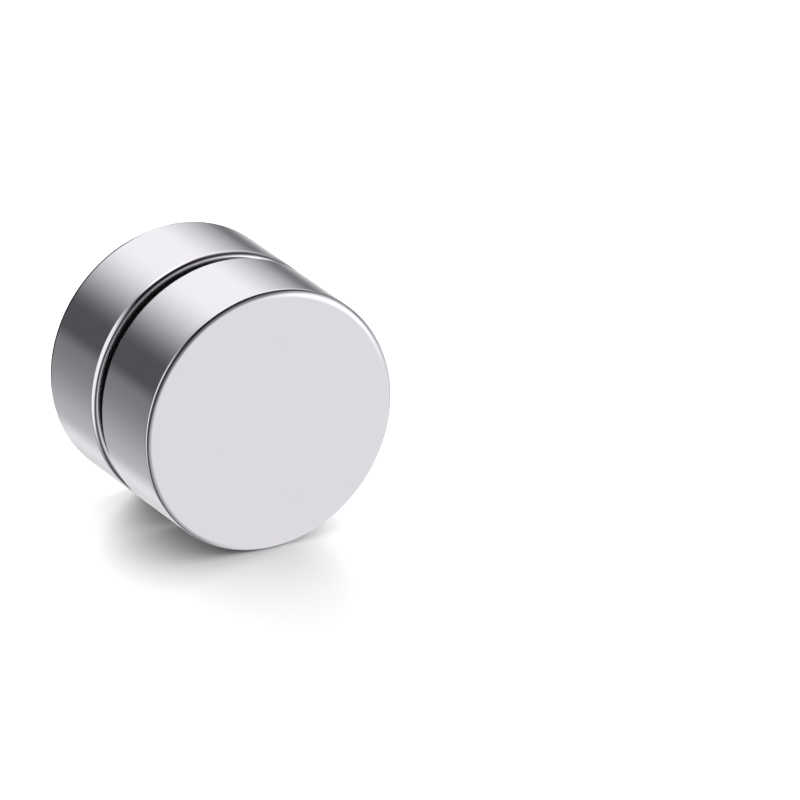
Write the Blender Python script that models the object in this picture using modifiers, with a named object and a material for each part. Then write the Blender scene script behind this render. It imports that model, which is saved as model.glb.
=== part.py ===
"""Magnetic stud earring: two round steel halves that hold each other through the earlobe.

Each half is a polished cap with a disc magnet glued into its open side. The two magnets face
each other, so the caps sit back to back with a narrow groove between their rims.

The earring lies on its curved wall. Its axis runs along Y, the front half faces -Y, and the
floor is z = 0. Metres, +Z up.
"""

from math import cos, pi, radians, sin

import bpy

COLLECTION = "magnetic_stud_earring"

# The two halves, as they are seen from outside
DISC_DIAMETER = 0.0100
HALF_DEPTH = 0.00358
RIM_GAP = 0.00062
SHOULDER_RADIUS = 0.00047
SHOULDER_TURN = 42
CORNER_RADIUS = 0.00006
FRONT_RIM_ROUNDING = 0.00005
BACK_RIM_ROUNDING = 0.00025

# The magnets and the pockets that hold them
MAGNET_DIAMETER = 0.0080
MAGNET_THICKNESS = 0.0030
MAGNET_ROUNDING = 0.00015
MAGNET_GAP = 0.0001
GLUE_LINE = 0.0001

# How finely the turned shapes are cut: the flats are tangent to the true circle
STEPS = 48
HALF_STEP = pi / STEPS
CORNER_SCALE = 1 / cos(HALF_STEP)
WIDE_ARC_SEGMENTS = 4
SHOULDER_SEGMENTS = 3
SHARP_ARC_SEGMENTS = 2
MERGE_DISTANCE = 0.00001

# Distances along a half's own axis, from the middle of the groove outwards
DISC_RADIUS = DISC_DIAMETER / 2
RIM_PLANE = RIM_GAP / 2
FACE_PLANE = RIM_PLANE + HALF_DEPTH
MAGNET_RADIUS = MAGNET_DIAMETER / 2
MAGNET_INNER_PLANE = MAGNET_GAP / 2
MAGNET_OUTER_PLANE = MAGNET_INNER_PLANE + MAGNET_THICKNESS
POCKET_RADIUS = MAGNET_RADIUS + GLUE_LINE
POCKET_FLOOR = MAGNET_OUTER_PLANE + GLUE_LINE


def clear_scene():
    for obj in list(bpy.data.objects):
        bpy.data.objects.remove(obj, do_unlink=True)


def new_collection():
    collection = bpy.data.collections.new(COLLECTION)
    bpy.context.scene.collection.children.link(collection)
    return collection


def metal(name, colour, roughness):
    """A bare metal finish of one colour."""
    material = bpy.data.materials.new(name)
    material.use_nodes = True
    material.diffuse_color = (*colour, 1.0)
    shader = material.node_tree.nodes["Principled BSDF"]
    shader.inputs["Base Color"].default_value = (*colour, 1.0)
    shader.inputs["Metallic"].default_value = 1.0
    shader.inputs["Roughness"].default_value = roughness
    return material


def corner(radius, height, rounding, start, segments, turn=90):
    """Points round an arc, clockwise from start degrees, about a centre."""
    angles = [radians(start - turn * i / segments) for i in range(segments + 1)]
    return [(radius + rounding * cos(a), height + rounding * sin(a)) for a in angles]


def face_edge():
    """The face's edge: a broad shoulder, and the tight corner that it meets the wall in."""
    rest = 90 - SHOULDER_TURN
    apart = SHOULDER_RADIUS - CORNER_RADIUS
    radius, height = DISC_RADIUS - CORNER_RADIUS, FACE_PLANE - SHOULDER_RADIUS
    inner, higher = radius - apart * cos(radians(rest)), height + apart * sin(radians(rest))
    shoulder = corner(inner, height, SHOULDER_RADIUS, 90, SHOULDER_SEGMENTS, SHOULDER_TURN)
    tight = corner(radius, higher, CORNER_RADIUS, rest, SHARP_ARC_SEGMENTS, rest)
    return shoulder + tight[1:]


def cap_profile(rim_rounding, rim_segments):
    """A cap's section as (radius, height): across the face, down the wall, into the pocket."""
    rim_edge = corner(
        DISC_RADIUS - rim_rounding, RIM_PLANE + rim_rounding, rim_rounding, 0, rim_segments
    )
    pocket = [(POCKET_RADIUS, RIM_PLANE), (POCKET_RADIUS, POCKET_FLOOR), (0.0, POCKET_FLOOR)]
    return [(0.0, FACE_PLANE), *face_edge(), *rim_edge, *pocket]


def magnet_profile():
    """The magnet's section as (radius, height): a plain disc with softened edges."""
    centre = MAGNET_RADIUS - MAGNET_ROUNDING
    outer_edge = corner(
        centre, MAGNET_OUTER_PLANE - MAGNET_ROUNDING, MAGNET_ROUNDING, 90, SHARP_ARC_SEGMENTS
    )
    inner_edge = corner(
        centre, MAGNET_INNER_PLANE + MAGNET_ROUNDING, MAGNET_ROUNDING, 0, SHARP_ARC_SEGMENTS
    )
    return [(0.0, MAGNET_OUTER_PLANE), *outer_edge, *inner_edge, (0.0, MAGNET_INNER_PLANE)]


def turned(name, profile, material, half, collection):
    """A solid turned about its own Z, half a step round so that it lies on a flat."""
    mesh = bpy.data.meshes.new(name)
    points = [(radius * CORNER_SCALE, 0.0, height) for radius, height in profile]
    edges = [(i, i + 1) for i in range(len(points) - 1)]
    mesh.from_pydata(points, edges, [])
    mesh.materials.append(material)

    piece = bpy.data.objects.new(name, mesh)
    collection.objects.link(piece)
    screw = piece.modifiers.new("turned", "SCREW")
    screw.axis = "Z"
    screw.angle = 2 * pi
    screw.steps = STEPS
    screw.render_steps = STEPS
    screw.use_merge_vertices = True
    screw.merge_threshold = MERGE_DISTANCE
    screw.use_smooth_shade = True

    piece.rotation_euler = (0.0, 0.0, HALF_STEP)
    piece.parent = half
    return piece


def half_on_axis(name, tilt, collection):
    """An empty on the earring's axis, in the middle of the groove. Its +Z points outwards."""
    empty = bpy.data.objects.new(name, None)
    empty.empty_display_size = DISC_RADIUS
    empty.location = (0.0, 0.0, DISC_RADIUS)
    empty.rotation_euler = (tilt, 0.0, 0.0)
    collection.objects.link(empty)
    return empty


def build_half(side, tilt, rim, finishes, collection):
    """One half: the cap, and the magnet in its pocket."""
    half = half_on_axis(f"{side}_half", tilt, collection)
    steel, nickel = finishes
    turned(f"{side}_cap", cap_profile(*rim), steel, half, collection)
    turned(f"{side}_magnet", magnet_profile(), nickel, half, collection)
    return half


def main():
    clear_scene()
    collection = new_collection()
    finishes = (
        metal("polished_steel", (0.72, 0.70, 0.74), 0.10),
        metal("nickel_plate", (0.62, 0.60, 0.58), 0.28),
    )
    front_rim = (FRONT_RIM_ROUNDING, SHARP_ARC_SEGMENTS)
    back_rim = (BACK_RIM_ROUNDING, WIDE_ARC_SEGMENTS)
    build_half("front", radians(90), front_rim, finishes, collection)
    build_half("back", radians(-90), back_rim, finishes, collection)


main()
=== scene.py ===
# %% [markdown]
# # A magnetic stud earring in polished steel
# The earring is two short steel discs that hold each other through the earlobe. Each disc is a
# turned cap with a magnet glued into its open side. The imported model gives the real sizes, and
# this script gives the finish: fine turned surfaces, polished steel, nickel plate and the light.

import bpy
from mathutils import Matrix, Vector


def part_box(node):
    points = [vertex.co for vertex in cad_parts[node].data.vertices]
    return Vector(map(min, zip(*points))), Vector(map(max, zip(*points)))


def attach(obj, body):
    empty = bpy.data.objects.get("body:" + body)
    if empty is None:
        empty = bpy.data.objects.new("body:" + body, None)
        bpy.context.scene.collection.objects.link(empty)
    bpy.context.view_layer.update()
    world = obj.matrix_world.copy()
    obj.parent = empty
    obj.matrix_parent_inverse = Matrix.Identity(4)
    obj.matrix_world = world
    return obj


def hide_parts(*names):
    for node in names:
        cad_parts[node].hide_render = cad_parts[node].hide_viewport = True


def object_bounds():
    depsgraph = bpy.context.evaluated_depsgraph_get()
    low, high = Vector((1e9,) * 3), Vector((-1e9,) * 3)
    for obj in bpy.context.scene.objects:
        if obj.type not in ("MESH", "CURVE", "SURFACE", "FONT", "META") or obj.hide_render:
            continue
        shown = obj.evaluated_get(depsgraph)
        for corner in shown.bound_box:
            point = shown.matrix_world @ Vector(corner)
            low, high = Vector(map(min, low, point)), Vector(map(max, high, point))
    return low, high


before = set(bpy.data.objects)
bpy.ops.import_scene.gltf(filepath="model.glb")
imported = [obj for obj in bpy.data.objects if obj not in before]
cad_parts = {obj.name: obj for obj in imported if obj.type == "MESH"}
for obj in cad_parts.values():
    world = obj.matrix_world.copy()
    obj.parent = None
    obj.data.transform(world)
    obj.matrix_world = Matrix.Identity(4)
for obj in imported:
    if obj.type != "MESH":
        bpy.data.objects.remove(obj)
cad_low, cad_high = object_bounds()
print("frame from", tuple(cad_low), "to", tuple(cad_high))

# %% [markdown]
# ## Tools
# bmesh makes the shapes, and bpy the materials, the light and the camera. Blender works in
# metres, which is coarse for a jewel, so a small length is written as a number times MM.

# %% Tools
from collections import namedtuple
from math import cos, pi, radians, sin

import bmesh
import bpy
from mathutils import Matrix, Vector

MM = 0.001

# %% [markdown]
# ## Sizes
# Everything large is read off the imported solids, so the fine pieces can't drift from them. A
# node's box gives its radius and its two end planes. The roundings are too small to read from a
# box, so they are named here, as a jeweller would put them on a drawing.
#
# A disc this small is polished by tumbling, which rolls the face over into a broad shoulder and
# leaves a tight corner where the shoulder meets the wall. The wall leans in by a few degrees
# just before that corner. It is hardly a shape, but in a mirror it makes a dark line.

# %% Sizes
Planes = namedtuple("Planes", "radius inner outer")


def planes(node):
    """The node's radius, and how far its two end planes are from the middle of the groove."""
    low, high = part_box(node)
    inner, outer = sorted((abs(low.y), abs(high.y)))
    return Planes((high.x - low.x) / 2, inner, outer)


AXIS_HEIGHT = (cad_low.z + cad_high.z) / 2
SHOULDER_RADIUS = 0.47 * MM
SHOULDER_TURN = 42
CORNER_RADIUS = 0.06 * MM
ROLL_RADIUS = 0.60 * MM
ROLL_TURN = 10
FRONT_RIM_ROUNDING = 0.05 * MM
BACK_RIM_ROUNDING = 0.25 * MM
POCKET_ROUNDING = 0.03 * MM
MAGNET_ROUNDING = 0.15 * MM
GLUE_LINE = 0.1 * MM
print("axis height", AXIS_HEIGHT, "front cap", planes("front_cap"))

# %% [markdown]
# ## Drawing a section
# A cap and a magnet are turned, so every section through the axis is the same. A cylinder with
# bevelled edges would do, but one drawn section gives the shoulder, the corner, the groove's
# rounding and the pocket in one go.
#
# The section is drawn as a draughtsman does it, with a rule and a pair of compasses. A straight
# stroke extrudes the last point. An arc spins it about a centre. Polished metal shows every
# fault in its shading, so each straight stroke also gets a point close to both of its ends,
# which keeps the flat surfaces flat right up to their edges.

# %% Drawing a section
HOLD = 0.02 * MM


class Section:
    """A pen that draws a section from places given as a radius and a depth from the groove."""

    def __init__(self, outwards, radius, depth):
        self.outwards = outwards
        self.bm = bmesh.new()
        self.tip = self.bm.verts.new(self.place(radius, depth))

    def place(self, radius, depth):
        return Vector((0, self.outwards * depth, AXIS_HEIGHT + radius))

    def line(self, radius, depth):
        start, end = self.tip.co.copy(), self.place(radius, depth)
        hold = (end - start).normalized() * HOLD
        for spot in (start + hold, end - hold, end):
            drawn = bmesh.ops.extrude_vert_indiv(self.bm, verts=[self.tip])
            self.tip = drawn["verts"][0]
            self.tip.co = spot

    def arc(self, radius, depth, turn, steps):
        """Go round a centre by a turn in degrees: from the face to the wall if positive."""
        drawn = bmesh.ops.spin(
            self.bm, geom=[self.tip], cent=self.place(radius, depth), axis=(1, 0, 0),
            dvec=(0, 0, 0), angle=radians(turn) * self.outwards, steps=steps, use_duplicate=False,
        )
        self.tip = next(v for v in drawn["geom_last"] if isinstance(v, bmesh.types.BMVert))


# %% [markdown]
# ## Turning it
# A full spin of the section makes the surface. The first and last points of the section lie on
# the axis, where all their copies fall together, so the doubles are merged into one pole. A spin
# can come out inside out, and the normals are made to point outwards.

# %% Turning it
TURNS = 288
MERGE = 0.0001 * MM


def turn(name, section, material):
    """Spin a section about the earring's axis and make an object of it."""
    bm = section.bm
    bmesh.ops.spin(
        bm, geom=bm.verts[:] + bm.edges[:], cent=(0, 0, AXIS_HEIGHT), axis=(0, 1, 0),
        dvec=(0, 0, 0), angle=2 * pi, steps=TURNS, use_merge=True, use_duplicate=False,
    )
    bmesh.ops.remove_doubles(bm, verts=bm.verts, dist=MERGE)
    bmesh.ops.recalc_face_normals(bm, faces=bm.faces)
    for face in bm.faces:
        face.smooth = True
    mesh = bpy.data.meshes.new(name)
    bm.to_mesh(mesh)
    bm.free()
    mesh.materials.append(material)
    piece = bpy.data.objects.new(name, mesh)
    bpy.context.scene.collection.objects.link(piece)
    print(name, len(mesh.polygons), "faces")
    return piece


# %% [markdown]
# ## Shader maths
# A finish is a sum of small effects, and so is the light of a studio. Written as nodes they are
# hard to read, so a socket is wrapped in a small class, and effects are added and multiplied as
# plain numbers are. Every operator adds one Math node.

# %% Shader maths
class Signal:
    """A socket that can take part in sums."""

    def __init__(self, net, socket):
        self.net, self.socket = net, socket

    def math(self, operation, first, second=0.0):
        return self.net.node("ShaderNodeMath", {"operation": operation}, {0: first, 1: second})

    def __add__(self, other):
        return self.math("ADD", self, other)

    def __sub__(self, other):
        return self.math("SUBTRACT", self, other)

    def __rsub__(self, other):
        return self.math("SUBTRACT", other, self)

    def __mul__(self, other):
        return self.math("MULTIPLY", self, other)

    def __pow__(self, other):
        return self.math("POWER", self, other)

    __radd__ = __add__
    __rmul__ = __mul__

    def rise(self, start, end):
        """0 before start, 1 after end, and a soft slope between. It falls if end is lower."""
        return self.net.node(
            "ShaderNodeMapRange", {"interpolation_type": "SMOOTHSTEP"},
            {"Value": self, "From Min": start, "From Max": end},
        )

    def within(self, low, high, soft):
        """1 between two values and 0 outside them, with soft borders."""
        return self.rise(low - soft, low + soft) * self.rise(high + soft, high - soft)


class Net:
    """A node tree that is filled by one method."""

    def __init__(self, tree):
        self.tree = tree

    def node(self, kind, settings=None, inputs=None, output=0):
        made = self.tree.nodes.new(kind)
        for name, value in (settings or {}).items():
            setattr(made, name, value)
        for name, value in (inputs or {}).items():
            if isinstance(value, Signal):
                self.tree.links.new(value.socket, made.inputs[name])
            else:
                made.inputs[name].default_value = value
        return Signal(self, made.outputs[output])


# %% [markdown]
# ## Where a point lies on a turned piece
# Polishing follows the lathe: its lines run round the axis, on the face as rings and on the wall
# as hoops. So the patterns need two measures of a point, its radius and its depth. Both come
# from Object coordinates, which turn and move with the piece. A Mapping node puts the zero on
# the earring's axis, and a pattern drawn from radius and depth alone can only run round it.

# %% Where a point lies
def lathe_place(net):
    """A point's place, its radius and its depth from the groove in mm, and 1 in front."""
    at = net.node("ShaderNodeTexCoord", output="Object")
    centred = net.node(
        "ShaderNodeMapping", {"vector_type": "POINT"},
        {"Vector": at, "Location": (0, 0, -AXIS_HEIGHT / MM), "Scale": (1 / MM,) * 3},
    )
    x, y, z = (
        net.node("ShaderNodeSeparateXYZ", inputs={"Vector": centred}, output=name)
        for name in "XYZ"
    )
    return centred, (x * x + z * z) ** 0.5, (y * y) ** 0.5, y.rise(0.1, -0.1)


def grain(net, place, scale, detail=2.0):
    """Noise about a middle of 0, from roughly -0.5 to 0.5."""
    noise = net.node(
        "ShaderNodeTexNoise", {"noise_dimensions": "3D"},
        {"Vector": place, "Scale": scale, "Detail": detail},
    )
    return noise - 0.5


def stretched(net, place, turn, scale):
    """The place, turned and then squeezed, so that noise on it draws out into hairlines."""
    turned = net.node(
        "ShaderNodeVectorRotate", {"rotation_type": "EULER_XYZ"},
        {"Vector": place, "Rotation": tuple(radians(angle) for angle in turn)},
    )
    return net.node(
        "ShaderNodeVectorMath", {"operation": "MULTIPLY"}, {0: turned, 1: scale}
    )


def metal(name, colour):
    """A material with a bare metal shader, and the net to wire its finish in."""
    material = bpy.data.materials.new(name)
    material.use_nodes = True
    shader = material.node_tree.nodes["Principled BSDF"]
    shader.inputs["Base Color"].default_value = (*colour, 1)
    shader.inputs["Metallic"].default_value = 1
    return material, shader, Net(material.node_tree)


# %% [markdown]
# ## Polished steel
# The outside of a cap is steel that was turned, tumbled and buffed until it mirrors the room. A
# mirror still isn't even. Buffing leaves rings a few hundredths of a millimetre apart, wiping
# leaves hairlines in all directions, and skin leaves a haze that makes parts of it softer. The
# corner where the shoulder meets the wall is knocked first, so it is rubbed dull.
#
# The buff can't reach into the groove. There the rims go from polished to satin, and then, like
# the pocket behind them, they are left from the cutter. Their colour is also darkened to near
# black there: painted shade for the narrow gap between the two halves.

# %% Marks on the steel
STEEL = (0.72, 0.70, 0.74)
BUFF_RINGS, CUTTER_RINGS = 26.0, 9.0
HAZE_PATCHES, KNOCK_SPOTS = 0.55, 7.0
HAIRLINES_DOWN = ((20, 35, 10), (30, 0.5, 30))
HAIRLINES_ACROSS = ((-40, 15, 70), (0.4, 26, 26))

steel, shader, net = metal("polished_steel", STEEL)
place, radius, depth, in_front = lathe_place(net)
rings = net.node("ShaderNodeCombineXYZ", inputs={"X": radius, "Y": depth})
buffing = grain(net, rings, BUFF_RINGS, 4.0)
cutter = grain(net, rings, CUTTER_RINGS, 2.0)
haze = grain(net, place, HAZE_PATCHES, 3.0).rise(-0.1, 0.2)
knocks = grain(net, place, KNOCK_SPOTS, 3.0).rise(-0.05, 0.2)
hairlines = (
    grain(net, stretched(net, place, *HAIRLINES_DOWN), 1.0).rise(0.19, 0.24)
    + grain(net, stretched(net, place, *HAIRLINES_ACROSS), 1.0).rise(0.20, 0.25)
)
print("marks on the steel,", len(net.tree.nodes), "nodes")

# %% [markdown]
# ## Where each mark is
# The marks need masks, which are slopes over radius or depth. Each slope is given in millimetres
# in from the wall or down from the face: where it starts, and where it is complete. The back
# rim is rounder, so its finish begins further in than the front rim's.

# %% Where each mark is
FACE_DEPTH = planes("front_cap").outer / MM
DISC_RADIUS = planes("front_cap").radius / MM
CORNER_IN, CORNER_DOWN = (0.14, 0.02), (0.24, 0.18)
GROOVE_SIDE = (0.3, 0.5)
FRONT_SATIN, BACK_SATIN = (0.03, 0.08), (0.16, 0.25)
# The last two slopes mark the inner rims and the pocket, which get as-cut roughness and painted
# shade.
FRONT_CUT_AND_SHADE, BACK_CUT_AND_SHADE = (0.42, 0.50), (0.25, 0.29)


def in_from_wall(start, end):
    return radius.rise(DISC_RADIUS - start, DISC_RADIUS - end)


def down_from_face(start, end):
    return depth.rise(FACE_DEPTH - start, FACE_DEPTH - end)


in_back = 1 - in_front
corner = in_from_wall(*CORNER_IN) * down_from_face(*CORNER_DOWN)
groove_side = down_from_face(*GROOVE_SIDE)
satin_front = in_front * in_from_wall(*FRONT_SATIN) * groove_side
satin_back = in_back * in_from_wall(*BACK_SATIN) * groove_side
# These two masks carry the as-cut roughness and the painted shade of the gap between the halves.
cut_and_shade_front = in_front * in_from_wall(*FRONT_CUT_AND_SHADE)
cut_and_shade_back = in_back * in_from_wall(*BACK_CUT_AND_SHADE)
inside = (cut_and_shade_front + cut_and_shade_back) * groove_side
print("disc radius", DISC_RADIUS, "mm, face at", FACE_DEPTH, "mm")

# %% [markdown]
# ## The steel's finish
# Roughness does most of the work: 0 is a perfect mirror, and each mark adds its share to it. The
# bump is kept below a micrometre, because a mirror shows even that.

# %% The steel's finish
# The first colour is painted shade: near black on the inner rims and pocket, where the gap lies
# dark.
GROOVE_PAINTED_SHADE = (0.06, 0.055, 0.06)
MIRROR, AS_CUT = 0.045, 0.42
STEEL_BUMP = 0.001 * MM

polish = MIRROR + 0.03 * haze + 0.05 * hairlines + 0.03 * buffing + 0.10 * corner * knocks
polish = polish + 0.45 * satin_front + 0.10 * satin_back
roughness = polish * (1 - inside) + (AS_CUT + 0.1 * cutter) * inside
net.tree.links.new(roughness.socket, shader.inputs["Roughness"])

# The base colour goes near black inside the groove: painted shade for the gap between the halves.
colour = net.node(
    "ShaderNodeMix", {"data_type": "RGBA"},
    {"Factor": inside, 6: (*STEEL, 1), 7: (*GROOVE_PAINTED_SHADE, 1)}, output=2,
)
net.tree.links.new(colour.socket, shader.inputs["Base Color"])

height = 0.10 * buffing - 0.15 * hairlines + 0.5 * cutter * inside
bump = net.node(
    "ShaderNodeBump", inputs={"Height": height, "Strength": 1.0, "Distance": STEEL_BUMP}
)
net.tree.links.new(bump.socket, shader.inputs["Normal"])
print("polished steel,", len(net.tree.nodes), "nodes")

# %% [markdown]
# ## Nickel plate
# The magnets are pressed from powder and plated, and only tumbled, so they are satin: a faint
# orange peel all over, and a mottled gloss where the plating took differently. They are hidden
# until the halves are pulled apart.

# %% Nickel plate
NICKEL = (0.62, 0.60, 0.58)
DULL_NICKEL = (0.57, 0.55, 0.53)
MOTTLE_PATCHES, PEEL_GRAINS = 2.4, 22.0
RUBBED_EDGE = 0.3
SATIN_NICKEL = 0.24
NICKEL_BUMP = 0.0012 * MM
MAGNET_RADIUS = planes("front_magnet").radius / MM

nickel, shader, net = metal("nickel_plate", NICKEL)
place, radius = lathe_place(net)[:2]
mottle = grain(net, place, MOTTLE_PATCHES, 4.0).rise(-0.25, 0.3)
peel = grain(net, place, PEEL_GRAINS, 2.0)
rubbed = radius.rise(MAGNET_RADIUS - RUBBED_EDGE, MAGNET_RADIUS)

roughness = SATIN_NICKEL + 0.05 * mottle + 0.06 * peel + 0.05 * rubbed
net.tree.links.new(roughness.socket, shader.inputs["Roughness"])
colour = net.node(
    "ShaderNodeMix", {"data_type": "RGBA"},
    {"Factor": mottle, 6: (*NICKEL, 1), 7: (*DULL_NICKEL, 1)}, output=2,
)
net.tree.links.new(colour.socket, shader.inputs["Base Color"])
bump = net.node(
    "ShaderNodeBump", inputs={"Height": peel, "Strength": 1.0, "Distance": NICKEL_BUMP}
)
net.tree.links.new(bump.socket, shader.inputs["Normal"])
print("nickel plate,", len(net.tree.nodes), "nodes")

# %% [markdown]
# ## The two caps
# A cap is a shallow cup. Its closed end is the face, and its open side takes the magnet. Lathe
# work is drawn from the outside in: across the face, over the shoulder and the corner, down the
# wall, round the rim and into the pocket. The back cap's rim is rounded more than the front
# one's, and it catches a bright line beside the dark groove.
#
# The arcs meet without a kink, so each centre lies on the line through the last arc's end and its
# centre. That is why the centres are worked out from the wall back to the face.

# %% Caps
SHOULDER_STEPS, CORNER_STEPS, ROLL_STEPS, POCKET_STEPS = 14, 6, 4, 3
FRONT_RIM_STEPS, BACK_RIM_STEPS = 4, 12


def cap(side, outwards, rim_rounding, rim_steps):
    """One steel cap: face, shoulder, corner, wall, groove rounding, and the magnet's pocket."""
    node = f"{side}_cap"
    radius, rim, face = planes(node)
    magnet_seat = planes(f"{side}_magnet")
    pocket = magnet_seat.radius + GLUE_LINE
    floor = magnet_seat.outer + GLUE_LINE
    rest, lean = radians(90 - SHOULDER_TURN), radians(ROLL_TURN)
    shoulder_to_corner = SHOULDER_RADIUS - CORNER_RADIUS
    roll_to_corner = ROLL_RADIUS - CORNER_RADIUS
    roll_radius = radius - ROLL_RADIUS
    corner_radius = roll_radius + roll_to_corner * cos(lean)
    shoulder_radius = corner_radius - shoulder_to_corner * cos(rest)
    shoulder_depth = face - SHOULDER_RADIUS
    corner_depth = shoulder_depth + shoulder_to_corner * sin(rest)
    roll_depth = corner_depth - roll_to_corner * sin(lean)

    pen = Section(outwards, 0, face)
    pen.line(shoulder_radius, face)
    pen.arc(shoulder_radius, shoulder_depth, SHOULDER_TURN, SHOULDER_STEPS)
    pen.arc(corner_radius, corner_depth, 90 - SHOULDER_TURN - ROLL_TURN, CORNER_STEPS)
    pen.arc(roll_radius, roll_depth, ROLL_TURN, ROLL_STEPS)
    pen.line(radius, rim + rim_rounding)
    pen.arc(radius - rim_rounding, rim + rim_rounding, 90, rim_steps)
    pen.line(pocket + POCKET_ROUNDING, rim)
    pen.arc(pocket + POCKET_ROUNDING, rim + POCKET_ROUNDING, 90, POCKET_STEPS)
    pen.line(pocket, floor - POCKET_ROUNDING)
    pen.arc(pocket - POCKET_ROUNDING, floor - POCKET_ROUNDING, -90, POCKET_STEPS)
    pen.line(0, floor)

    piece = turn(f"{side}_disc", pen, steel)
    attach(piece, f"{side}_half")
    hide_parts(node)


cap("front", -1, FRONT_RIM_ROUNDING, FRONT_RIM_STEPS)
cap("back", 1, BACK_RIM_ROUNDING, BACK_RIM_STEPS)

# %% [markdown]
# ## The two magnets
# Each is a plain disc with tumbled edges, glued into its pocket a little proud of the rim, so
# that the magnets come closer to each other than the caps do.

# %% Magnets
MAGNET_EDGE_STEPS = 6


def magnet(side, outwards):
    """One magnet: outer face, edge, side, edge and inner face."""
    node = f"{side}_magnet"
    radius, inner, outer = planes(node)
    edge = radius - MAGNET_ROUNDING

    pen = Section(outwards, 0, outer)
    pen.line(edge, outer)
    pen.arc(edge, outer - MAGNET_ROUNDING, 90, MAGNET_EDGE_STEPS)
    pen.line(radius, inner + MAGNET_ROUNDING)
    pen.arc(edge, inner + MAGNET_ROUNDING, 90, MAGNET_EDGE_STEPS)
    pen.line(0, inner)

    piece = turn(f"{side}_disc_magnet", pen, nickel)
    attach(piece, f"{side}_half")
    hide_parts(node)


magnet("front", -1)
magnet("back", 1)

# %% [markdown]
# ## The floor
# A jeweller's photograph is taken on white card, lit until the card burns out, so that only the
# shadow under the earring is left of it. The card is a plain matt sheet. It is kept out of the
# mirrors, because the studio below already holds what the steel sees of the room.

# %% Floor
FLOOR_SIZE = 0.5
CLEARANCE = 0.002 * MM
CARD_WHITE = (0.9, 0.9, 0.9)

bm = bmesh.new()
bmesh.ops.create_grid(bm, x_segments=1, y_segments=1, size=FLOOR_SIZE)
bmesh.ops.translate(bm, verts=bm.verts, vec=(0, 0, -CLEARANCE))
floor_mesh = bpy.data.meshes.new("floor")
bm.to_mesh(floor_mesh)
bm.free()
floor = bpy.data.objects.new("floor", floor_mesh)
bpy.context.scene.collection.objects.link(floor)

card = bpy.data.materials.new("white_card")
card.use_nodes = True
shader = card.node_tree.nodes["Principled BSDF"]
shader.inputs["Base Color"].default_value = (*CARD_WHITE, 1)
shader.inputs["Roughness"].default_value = 1.0
shader.inputs["Specular IOR Level"].default_value = 0.0
floor_mesh.materials.append(card)
floor.visible_glossy = False
print("floor", 2 * FLOOR_SIZE, "m wide")

# %% [markdown]
# ## The studio
# Polished steel has no colour of its own to show: what it shows is the studio. The light is
# therefore built as the photographer builds it, from large soft boxes, and from black flags that
# put the dark bands into the metal.
#
# They could be planes with emission, but a ring of planes close to a small object is hard to
# keep out of other views. A world is seen from everywhere, and its texture coordinate is simply
# the direction looked in. A round box is then a smooth step on the angle between that direction
# and the box's middle. Azimuth 0 is in front of the earring, 90 is to its right, and an
# elevation of 90 is overhead.

# %% The studio's tools
world = bpy.data.worlds.new("studio")
bpy.context.scene.world = world
world.use_nodes = True
net = Net(world.node_tree)
look = net.node("ShaderNodeTexCoord", output="Generated")
look_x, look_y, look_z = (
    net.node("ShaderNodeSeparateXYZ", inputs={"Vector": look}, output=name) for name in "XYZ"
)


def facing(azimuth, elevation):
    """The unit vector from the earring towards a place in the studio."""
    azimuth, elevation = radians(azimuth), radians(elevation)
    return Vector((
        sin(azimuth) * cos(elevation), -cos(azimuth) * cos(elevation), sin(elevation)
    ))


def along(axis):
    """How far the direction looked in goes along an axis."""
    return net.node(
        "ShaderNodeVectorMath", {"operation": "DOT_PRODUCT"}, {0: look, 1: axis}, output="Value"
    )


def degrees_from(azimuth, elevation):
    cosine = along(facing(azimuth, elevation))
    return net.node("ShaderNodeMath", {"operation": "ARCCOSINE"}, {0: cosine}) * (180 / pi)


def round_box(azimuth, elevation, half_width, soft):
    """1 inside a round panel, and 0 past its soft border."""
    return degrees_from(azimuth, elevation).rise(half_width + soft, half_width)


def bearing(sideways, upwards):
    """Degrees round a circle, from upwards and towards sideways."""
    angle = net.node("ShaderNodeMath", {"operation": "ARCTAN2"}, {0: sideways, 1: upwards})
    return angle * (180 / pi)


print("studio's tools,", len(net.tree.nodes), "nodes")

# %% [markdown]
# ## What the walls mirror
# Seen from the front, the walls mirror a ring of places behind the earring. Overhead hangs one
# wide soft box. Black card stands at the left, and it ends in a rather sharp edge at the height
# of the table. The table is seen under that, and it gets lighter towards the middle. A narrow
# black hoop behind the earring, open at the right and below, shows only in the rear edges and
# draws them.
#
# Every slope here runs over degrees round that ring, from the top or from the bottom. The table
# is a list of steps: how much brighter it gets, and between which two places.

# %% What the walls mirror
BLACK_CARD = 0.11
TABLE_STEPS = [(0.15, -98, -81), (0.35, -85, -10), (0.40, -20, 8), (-0.27, -8, 34)]
TABLE_END = (89, 57)
HOOP_BLACK = 0.9

from_top = bearing(-1 * look_x, look_z)
from_bottom = bearing(look_x, -1 * look_z)
overhead = from_top.rise(-93, -30) * from_top.rise(66, -4)
right_wall = from_top.within(-94, -60, 20)
table = sum(step * from_bottom.rise(start, end) for step, start, end in TABLE_STEPS)
table = table * from_bottom.rise(*TABLE_END)
behind = BLACK_CARD + 1.10 * overhead + 0.19 * right_wall + table

from_behind = degrees_from(180, 0)
hoop_part = from_top.within(-25, 150, 12) + from_top.within(-171, -143, 6)
black_hoop = from_behind.rise(34, 29) * from_behind.rise(10, 17) * hoop_part
behind = behind * (1 - HOOP_BLACK * black_hoop)
print("behind,", len(net.tree.nodes), "nodes")

# %% [markdown]
# ## What the edges and the groove mirror
# An edge mirrors a whole sweep of the studio in a line a fraction of a millimetre wide. That is
# where a jeweller's photograph gets its drawing from: a bright line beside a dark one. Around the
# earring hang soft boxes, each with its brightness, azimuth, elevation, half width and soft
# border. The last one is a flag, which takes light away.

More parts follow.
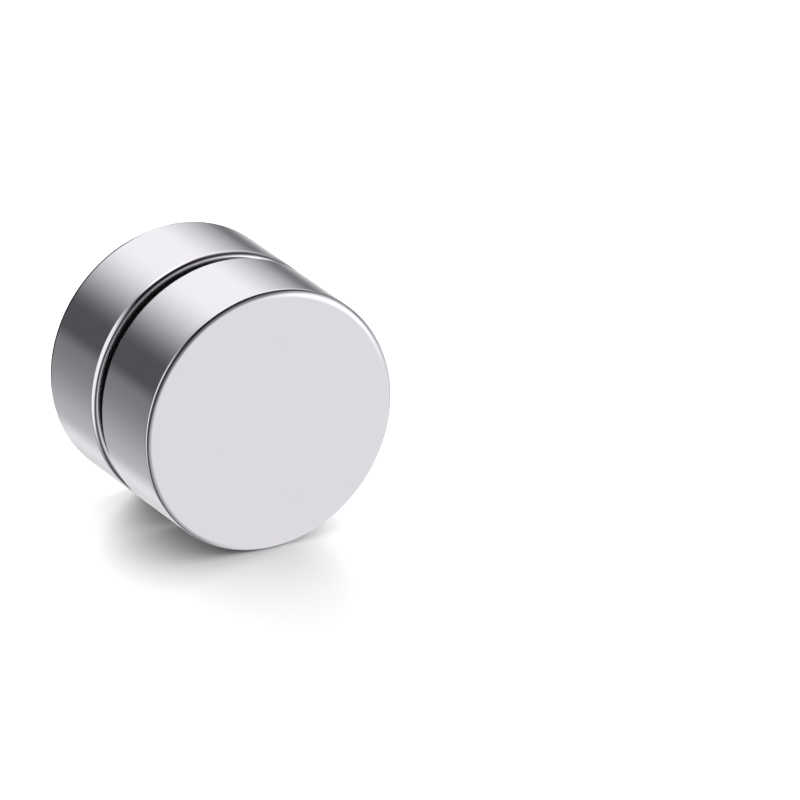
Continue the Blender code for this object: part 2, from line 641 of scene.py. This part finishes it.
# %% What the edges mirror
ROOM = 0.34
PANELS = {
    "left": (0.90, -97, 1, 30, 33),
    "high, behind left": (1.25, -134, 74, 0, 34),
    "high, behind": (1.03, 171, 57, 10, 38),
    "low, behind left": (1.30, -146, 12, 21, 8),
    "right": (0.84, 85, 28, 3, 17),
    "table, behind right": (0.45, 119, -39, 40, 22),
    "table, in front": (0.24, 21, -51, 55, 10),
    "flag, high left": (-0.33, -72, 72, 28, 26),
}
around = ROOM + sum(brightness * round_box(*panel) for brightness, *panel in PANELS.values())
print("soft boxes:", ", ".join(PANELS))

# %% [markdown]
# ## The black ring
# The camera stands at the front left and above, so the flat face mirrors one place at the front
# right and below. Round that place goes a band of black card, cut away at the right, which gives
# the front edge its dark line. A second, thinner band carries the line on to the right.

# %% The black ring
CAMERA_AT = (-28.6, 22.4)
MIRRORED = (-CAMERA_AT[0], -CAMERA_AT[1])
RING_MIDDLE = radians(-64)
RING_BLACK, THIN_RING_BLACK = 0.84, 0.57

card_right = facing(MIRRORED[0] + 90, 0)
card_up = facing(*MIRRORED).cross(card_right)
ring_middle = card_up * cos(RING_MIDDLE) + card_right * sin(RING_MIDDLE)
ring_side = facing(*MIRRORED).cross(ring_middle)
round_ring = bearing(along(ring_side), along(ring_middle))
round_ring = (round_ring * round_ring) ** 0.5
from_card = degrees_from(*MIRRORED)
black_ring = from_card.rise(50, 75) * from_card.rise(100, 82) * round_ring.rise(140, 112)
thin_ring = from_card.within(65, 74, 5) * round_ring.rise(162, 146)
around = around * (1 - RING_BLACK * black_ring) * (1 - THIN_RING_BLACK * thin_ring)
print("black ring round azimuth and elevation", MIRRORED)

# %% [markdown]
# ## Putting the studio together
# The flat face mirrors one evenly lit white card, in front of everything else, with a strip
# light over its right edge. Then the two regions, around and behind, are joined.
#
# Only what is mirrored needs the boxes and flags. The floor gets even white from all over
# instead, and the steel throws no light onto it, so that the shadow stays whole. A Light Path
# node tells a mirrored ray from the rest, and says whether it has come off the floor. A trace of
# violet is added to all of it, which only the darkest bands are weak enough to show.

# %% The whole studio
STRIP = 0.78
FLOOR_LIGHT = 1.02
LESS_GREEN, MORE_BLUE = 0.003, 0.004

white_card = from_card.rise(53, 35)
strip_light = round_box(51, 10, 4, 28)
around = around * (1 - white_card) + white_card + STRIP * strip_light
back_share = look_y.rise(0.4, 0.65)
mirrored = around * (1 - back_share) + behind * back_share
is_mirrored = net.node("ShaderNodeLightPath", output="Is Glossy Ray")
off_floor = net.node("ShaderNodeLightPath", output="Diffuse Depth").rise(0, 1)
light = mirrored * is_mirrored * (1 - off_floor) + FLOOR_LIGHT * (1 - is_mirrored)
tinted = net.node(
    "ShaderNodeCombineColor", {"mode": "RGB"},
    {"Red": light, "Green": light - LESS_GREEN, "Blue": light + MORE_BLUE},
)
net.tree.links.new(tinted.socket, net.tree.nodes["Background"].inputs["Color"])
print("studio,", len(net.tree.nodes), "nodes")

# %% [markdown]
# ## Two low windows
# Even light alone gives a shadow that is the same all round. Two windows near the floor, one
# behind and one at the right, throw it forward and to the left. A window is a sun lamp: all its
# light comes from one side, and the wide disc that it comes from makes the shadow soft. The
# windows aren't mirrored in the steel, which has its boxes.

# %% Two low windows
def window(name, azimuth, elevation, strength, width):
    """A low window as a sun lamp, with its place and its width in degrees."""
    lamp = bpy.data.lights.new(name, "SUN")
    lamp.energy = strength
    lamp.angle = radians(width)
    opening = bpy.data.objects.new(name, lamp)
    opening.rotation_euler = facing(azimuth, elevation).to_track_quat("Z", "Y").to_euler()
    opening.visible_glossy = False
    bpy.context.scene.collection.objects.link(opening)
    print(name, strength, "W/m2,", width, "degrees wide")


window("window_behind", 166, 6.3, 13.4, 40)
window("window_right", 99, 4.5, 6.6, 19)

# %% [markdown]
# ## The camera
# The earring is photographed from its front left and a little above, through a long lens, which
# keeps the two discs nearly equal in size. The camera is aimed so that the earring stands left of
# the middle. Its lens follows from how many pixels a metre of the earring has to fill.

# %% Camera
IMAGE = 800
OBJECT_AT = (220.25, 385.35)
PIXELS_PER_METRE = 27590
DISTANCE = 0.490
SENSOR = 36
NEAR, FAR = 0.01, 10

towards_camera = facing(*CAMERA_AT)
right = facing(CAMERA_AT[0] + 90, 0)
up = towards_camera.cross(right)
centre = Vector((0, 0, AXIS_HEIGHT))
aim = (
    centre
    + right * (IMAGE / 2 - OBJECT_AT[0]) / PIXELS_PER_METRE
    - up * (IMAGE / 2 - OBJECT_AT[1]) / PIXELS_PER_METRE
)
camera = bpy.data.objects.new("camera", bpy.data.cameras.new("camera"))
bpy.context.scene.collection.objects.link(camera)
camera.data.sensor_width = SENSOR
camera.data.lens = DISTANCE * PIXELS_PER_METRE * SENSOR / IMAGE
camera.data.clip_start, camera.data.clip_end = NEAR, FAR
camera.matrix_world = (
    Matrix.Translation(aim + towards_camera * DISTANCE)
    @ Matrix((right, up, towards_camera)).transposed().to_4x4()
)
bpy.context.scene.camera = camera
bpy.context.scene.view_settings.view_transform = "Standard"
print("camera at", tuple(camera.matrix_world.translation), "lens", camera.data.lens, "mm")
